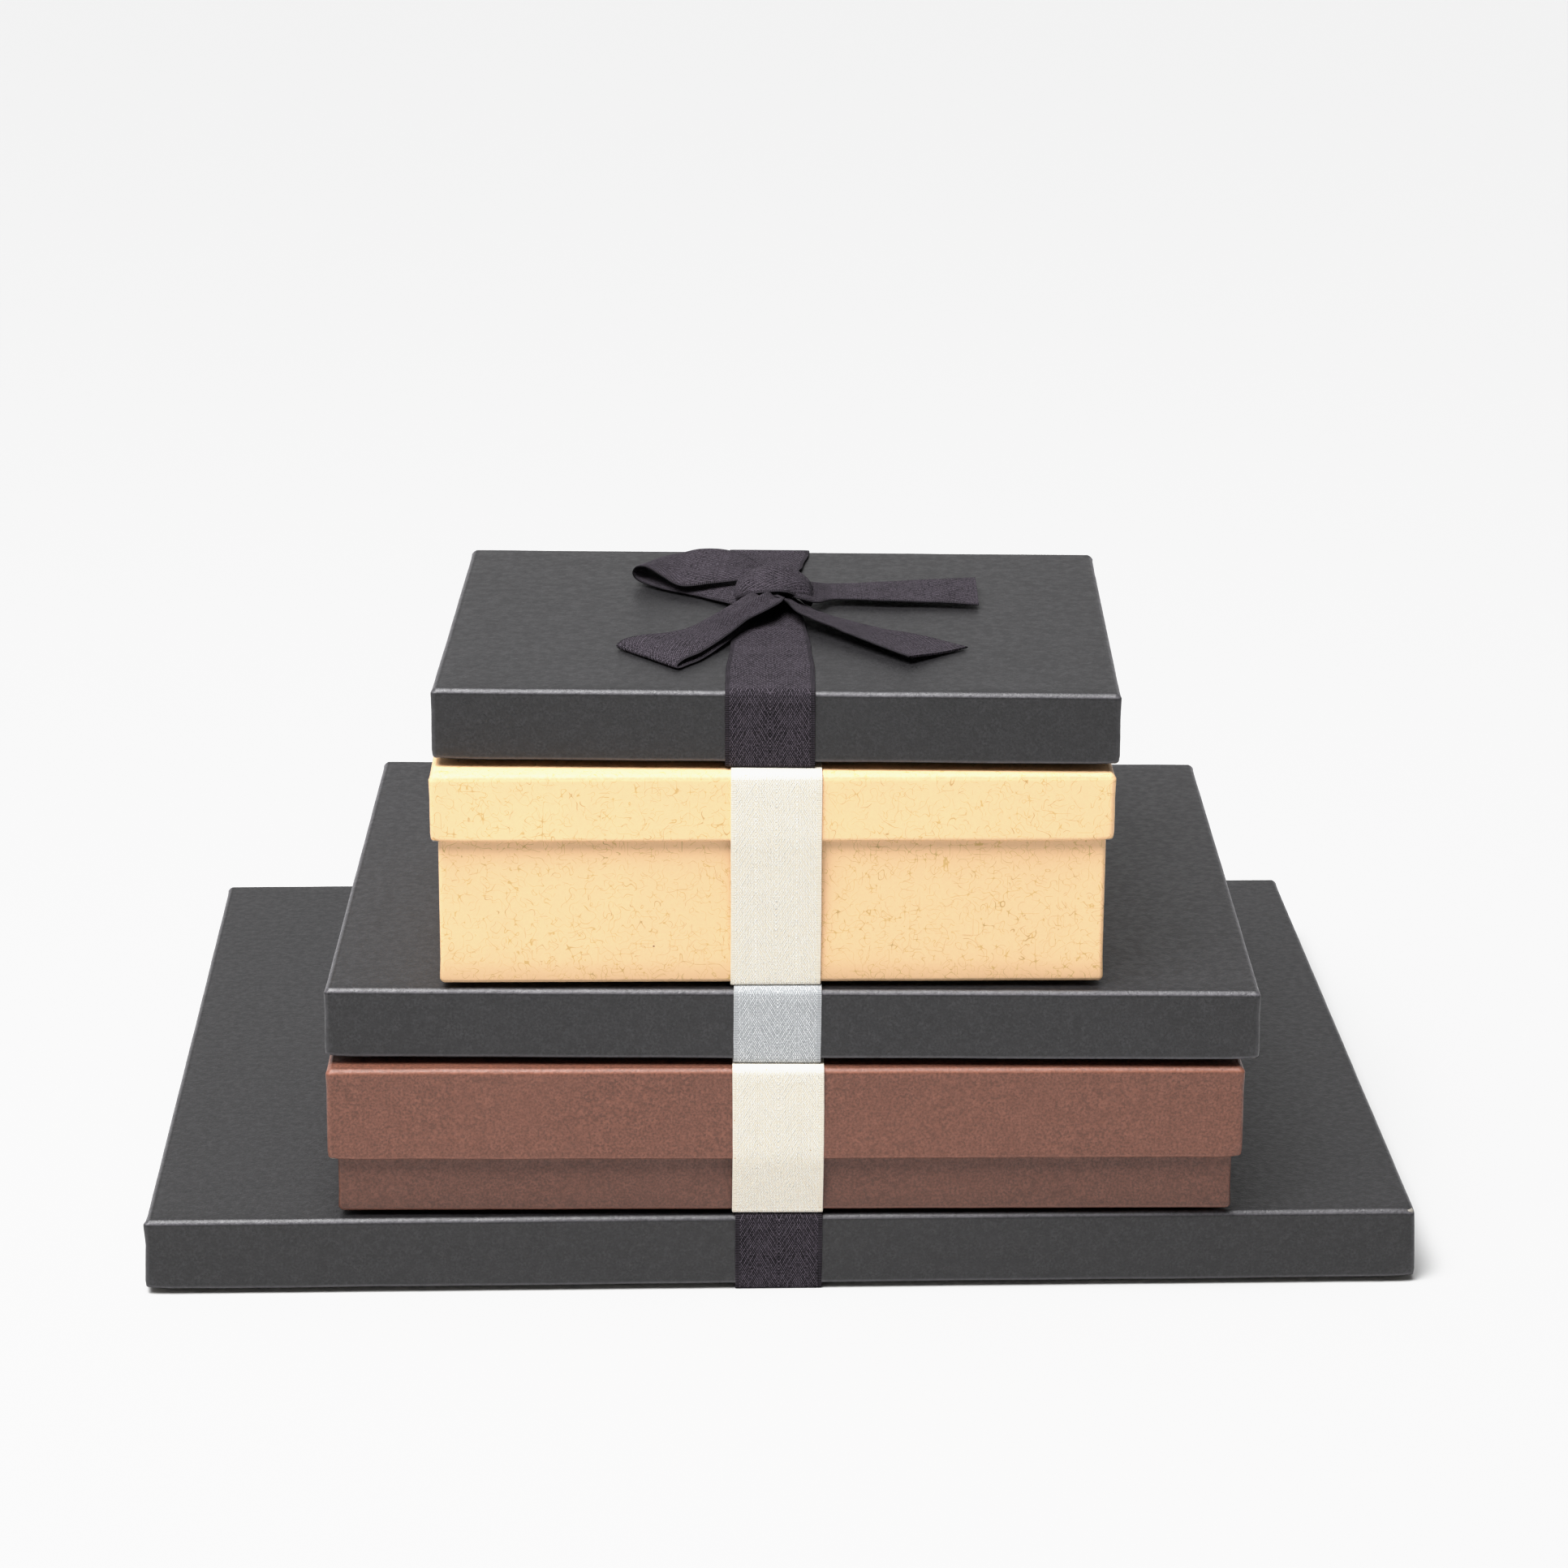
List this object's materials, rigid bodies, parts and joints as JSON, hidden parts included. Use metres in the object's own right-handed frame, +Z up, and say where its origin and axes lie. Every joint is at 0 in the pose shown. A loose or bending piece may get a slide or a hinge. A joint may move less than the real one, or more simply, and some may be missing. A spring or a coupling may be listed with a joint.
{
  "type": "gift box tower",
  "caption": "Stack of rigid lidded gift boxes, widest at the bottom, each tied front to back with herringbone tape, with a bow on top.",
  "frame": {"origin": "middle of the lowest box's footprint, on the surface that the tower stands on, in the underside of its ribbon", "axes": "+Z up, +X to the right along the lowest box's long side, +Y to the back; the ribbons run front to back along Y"},
  "size_m": [0.37, 0.2951, 0.1919],
  "materials": {
    "charcoal_paper": "matte, fine grain",
    "cocoa_paper": "matte, fine grain",
    "kraft_paper": "matte, with fine fibres",
    "greyboard": "raw",
    "lining_paper": "matte",
    "black_tape": "herringbone weave",
    "ivory_tape": "herringbone weave",
    "grey_tape": "herringbone weave"
  },
  "bodies": {
    "box1_base": {"box1_base_board": "greyboard", "box1_base_wrap": "charcoal_paper", "box1_base_liner": "lining_paper", "box1_ribbon_under": "black_tape"},
    "box1_lid": {"box1_lid_board": "greyboard", "box1_lid_wrap": "charcoal_paper", "box1_ribbon_band": "black_tape"},
    "box2_base": {"box2_base_board": "greyboard", "box2_base_wrap": "cocoa_paper", "box2_base_liner": "lining_paper", "box2_ribbon_under": "ivory_tape"},
    "box2_lid": {"box2_lid_board": "greyboard", "box2_lid_wrap": "cocoa_paper", "box2_ribbon_band": "ivory_tape"},
    "box3_base": {"box3_base_board": "greyboard", "box3_base_wrap": "charcoal_paper", "box3_base_liner": "lining_paper", "box3_ribbon_under": "grey_tape"},
    "box3_lid": {"box3_lid_board": "greyboard", "box3_lid_wrap": "charcoal_paper", "box3_ribbon_band": "grey_tape"},
    "box4_base": {"box4_base_board": "greyboard", "box4_base_wrap": "kraft_paper", "box4_base_liner": "lining_paper", "box4_ribbon_under": "ivory_tape"},
    "box4_lid": {"box4_lid_board": "greyboard", "box4_lid_wrap": "kraft_paper", "box4_ribbon_band": "ivory_tape"},
    "box5_base": {"box5_base_board": "greyboard", "box5_base_wrap": "charcoal_paper", "box5_base_liner": "lining_paper", "box5_ribbon_under": "black_tape"},
    "box5_lid": {"box5_lid_board": "greyboard", "box5_lid_wrap": "charcoal_paper", "box5_ribbon_band": "black_tape", "bow_knot": "black_tape", "bow_loop_back": "black_tape", "bow_loop_front": "black_tape", "bow_tail_back": "black_tape", "bow_tail_front": "black_tape"}
  },
  "joints": [
    {"name": "box1_lid_lifts_off", "type": "slide", "parent": "box1_base", "child": "box1_lid", "axis": [0, 0, 1], "range_m": [0, 0.06]},
    {"name": "box2_lifts_off_box1", "type": "slide", "parent": "box1_lid", "child": "box2_base", "axis": [0, 0, 1], "range_m": [0, 0.05]},
    {"name": "box2_lid_lifts_off", "type": "slide", "parent": "box2_base", "child": "box2_lid", "axis": [0, 0, 1], "range_m": [0, 0.085]},
    {"name": "box3_lifts_off_box2", "type": "slide", "parent": "box2_lid", "child": "box3_base", "axis": [0, 0, 1], "range_m": [0, 0.05]},
    {"name": "box3_lid_lifts_off", "type": "slide", "parent": "box3_base", "child": "box3_lid", "axis": [0, 0, 1], "range_m": [0, 0.06]},
    {"name": "box4_lifts_off_box3", "type": "slide", "parent": "box3_lid", "child": "box4_base", "axis": [0, 0, 1], "range_m": [0, 0.05]},
    {"name": "box4_lid_lifts_off", "type": "slide", "parent": "box4_base", "child": "box4_lid", "axis": [0, 0, 1], "range_m": [0, 0.105]},
    {"name": "box5_lifts_off_box4", "type": "slide", "parent": "box4_lid", "child": "box5_base", "axis": [0, 0, 1], "range_m": [0, 0.05]},
    {"name": "box5_lid_lifts_off", "type": "slide", "parent": "box5_base", "child": "box5_lid", "axis": [0, 0, 1], "range_m": [0, 0.06]}
  ]
}
